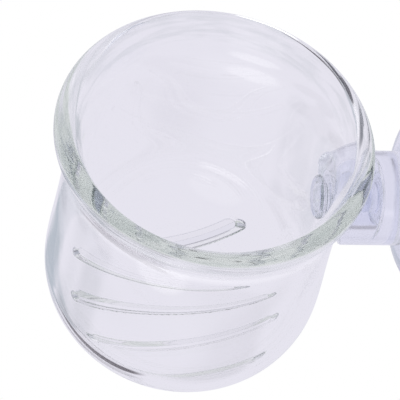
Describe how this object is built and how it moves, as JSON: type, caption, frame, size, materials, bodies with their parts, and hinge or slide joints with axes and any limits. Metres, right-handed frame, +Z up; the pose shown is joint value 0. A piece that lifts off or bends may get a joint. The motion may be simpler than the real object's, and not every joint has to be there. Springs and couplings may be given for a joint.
{
  "type": "hanging glass planter",
  "caption": "Clear glass plant pot with a flared lip and a slotted round base, hung on a pane by a soft suction cup through its wall.",
  "frame": {"origin": "middle of the suction cup's sealing face, on the cup's axis", "axes": "+X out of the sealing face, into the pane that the planter hangs on; +Y across the pane; +Z up, out of the pot's mouth"},
  "size_m": [0.0803, 0.062, 0.0702],
  "materials": {
    "glass": "clear, fire-polished",
    "soft_plastic": "clear, slightly cloudy soft plastic"
  },
  "bodies": {
    "cup": {"suction_cup": "soft_plastic"},
    "pot": {"glass_pot": "glass"}
  },
  "joints": [
    {"name": "pot_swivel", "type": "hinge", "parent": "cup", "child": "pot", "pos_m": [-0.0215, 0, 0], "axis": [1, 0, 0], "range_deg": [-20, 20]}
  ]
}
